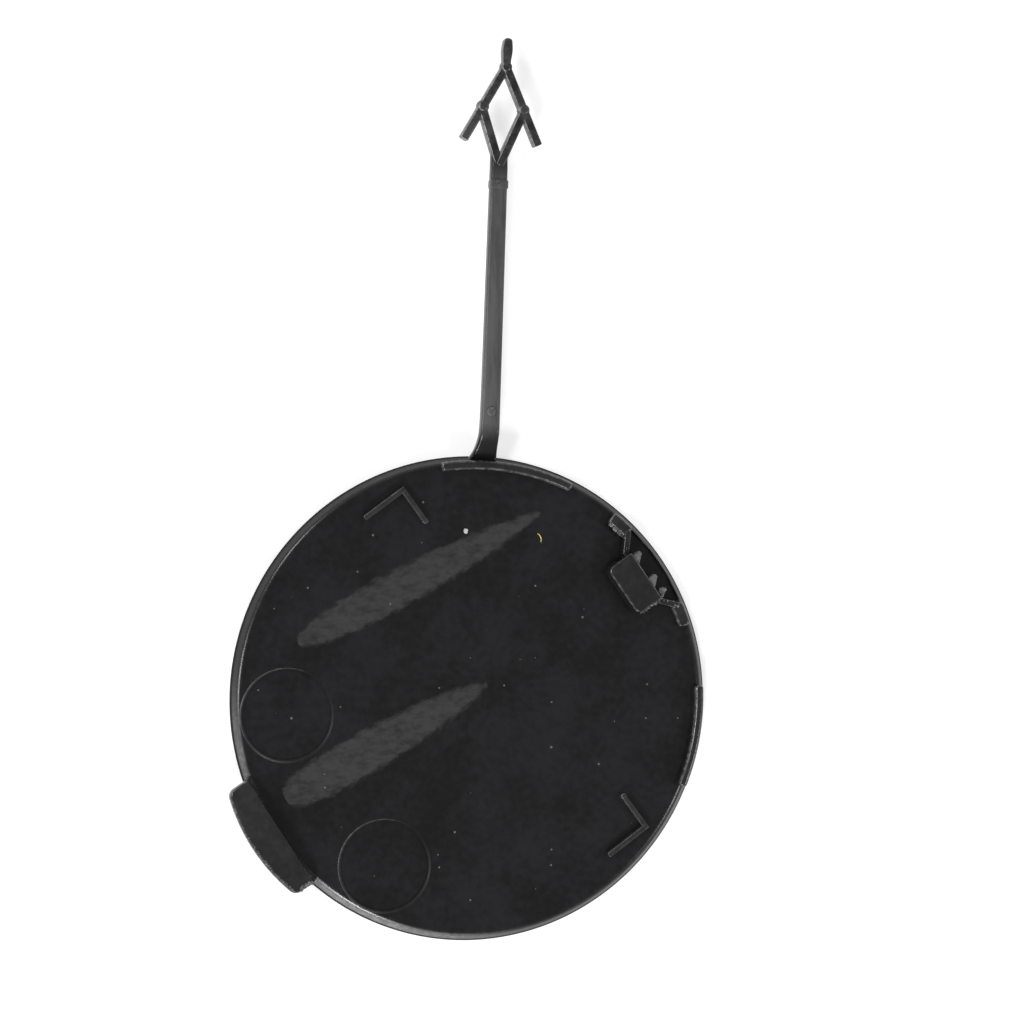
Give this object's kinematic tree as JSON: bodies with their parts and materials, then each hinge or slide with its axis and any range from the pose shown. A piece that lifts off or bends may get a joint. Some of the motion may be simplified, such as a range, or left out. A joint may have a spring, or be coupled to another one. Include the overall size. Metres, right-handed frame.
{
  "type": "tow hook cover",
  "caption": "Round plastic cover for a bumper's tow hook opening, with a snap clip, a hinge tab and a moulded tether that ends in a barbed arrow-head anchor.",
  "frame": {"origin": "centre of the round outer face, on the face's plane", "axes": "+Z from the outer face to the inner side with the clip and tab, +Y along the tether away from the disc, +X to the right of the tether seen from the inner side"},
  "size_m": [0.0706, 0.1302, 0.0052],
  "materials": {
    "black_plastic": "satin moulded black plastic"
  },
  "bodies": {
    "root": {"tow_hook_cover": "black_plastic"}
  },
  "joints": []
}
